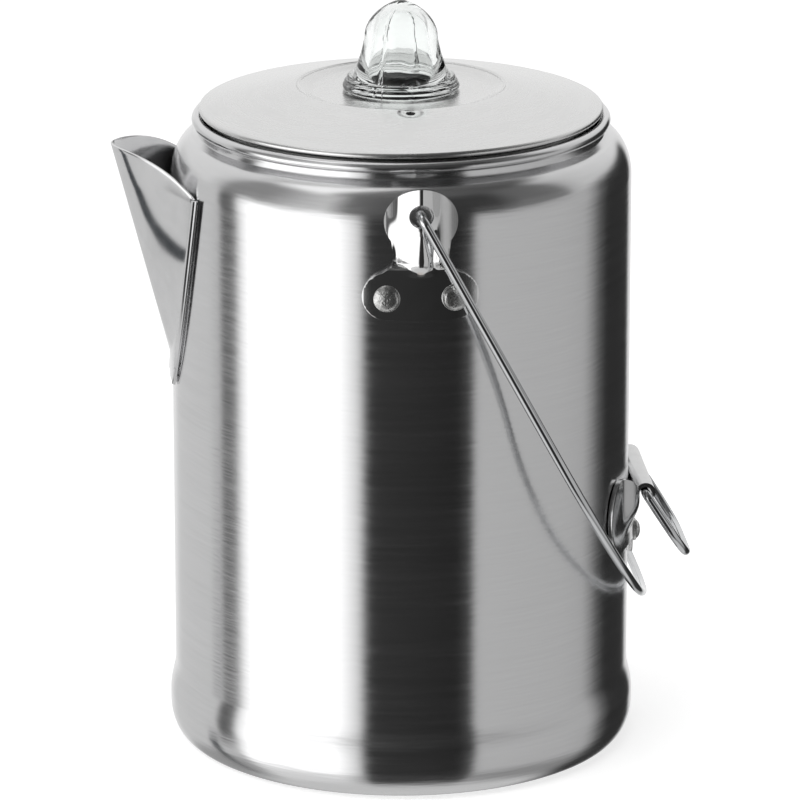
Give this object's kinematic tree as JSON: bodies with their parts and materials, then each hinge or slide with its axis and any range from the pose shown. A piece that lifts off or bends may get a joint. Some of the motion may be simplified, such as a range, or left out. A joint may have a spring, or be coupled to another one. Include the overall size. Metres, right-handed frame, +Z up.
{
  "type": "coffee percolator",
  "caption": "Camping coffee percolator: aluminium pot with pressed spout, domed lid with glass knob, wire bail, tilt ring and lift-out pump and basket.",
  "frame": {"origin": "centre of the pot's flat base, on the plane that it stands on", "axes": "+Z up; the spout points along -X, the tilt ring hangs at +X, and the bail's pivot axis runs along Y"},
  "size_m": [0.1618, 0.1388, 0.2106],
  "materials": {
    "satin_aluminium": "satin, fine brushing round the pot",
    "bright_aluminium": "bright, lightly polished",
    "spun_aluminium": "plain spun sheet",
    "rivet_aluminium": "dull, hammered",
    "polished_steel": "polished",
    "plated_wire": "bright plated",
    "clear_glass": "clear pressed glass"
  },
  "bodies": {
    "pot": {"pot_body": "satin_aluminium", "spout": "bright_aluminium", "bail_ear_front": "polished_steel", "bail_ear_back": "polished_steel", "ear_rivet_front_left": "rivet_aluminium", "ear_rivet_front_right": "rivet_aluminium", "ear_rivet_back_left": "rivet_aluminium", "ear_rivet_back_right": "rivet_aluminium", "ring_bracket": "polished_steel", "bracket_rivet": "rivet_aluminium"},
    "bail": {"bail": "plated_wire"},
    "tilt_ring": {"tilt_ring": "plated_wire"},
    "pump": {"pump_tube": "spun_aluminium", "pump_base": "spun_aluminium", "valve_seat": "spun_aluminium", "basket_stop": "spun_aluminium"},
    "valve_disc": {"valve_disc": "polished_steel"},
    "basket": {"basket_body": "spun_aluminium", "basket_sleeve": "spun_aluminium"},
    "basket_cover": {"basket_cover": "spun_aluminium"},
    "lid": {"lid": "bright_aluminium"},
    "glass_knob": {"glass_knob": "clear_glass"}
  },
  "joints": [
    {"name": "bail_swing", "type": "hinge", "parent": "pot", "child": "bail", "pos_m": [0, 0, 0.1665], "axis": [0, -1, 0], "range_deg": [0, 302]},
    {"name": "ring_swing", "type": "hinge", "parent": "pot", "child": "tilt_ring", "pos_m": [0.06715, 0, 0.0724], "axis": [0, -1, 0], "range_deg": [-28, 141]},
    {"name": "pump_lift", "type": "slide", "parent": "pot", "child": "pump", "axis": [0, 0, 1], "range_m": [0, 0.19]},
    {"name": "valve_lift", "type": "slide", "parent": "pump", "child": "valve_disc", "axis": [0, 0, 1], "range_m": [0, 0.0022]},
    {"name": "basket_lift", "type": "slide", "parent": "pump", "child": "basket", "axis": [0, 0, 1], "range_m": [0, 0.085]},
    {"name": "cover_lift", "type": "slide", "parent": "basket", "child": "basket_cover", "axis": [0, 0, 1], "range_m": [0, 0.02]},
    {"name": "lid_lift", "type": "slide", "parent": "basket_cover", "child": "lid", "axis": [0, 0, 1], "range_m": [0, 0.06]},
    {"name": "knob_twist", "type": "hinge", "parent": "lid", "child": "glass_knob", "pos_m": [0, 0, 0.186], "axis": [0, 0, 1], "range_deg": [0, 90]}
  ]
}
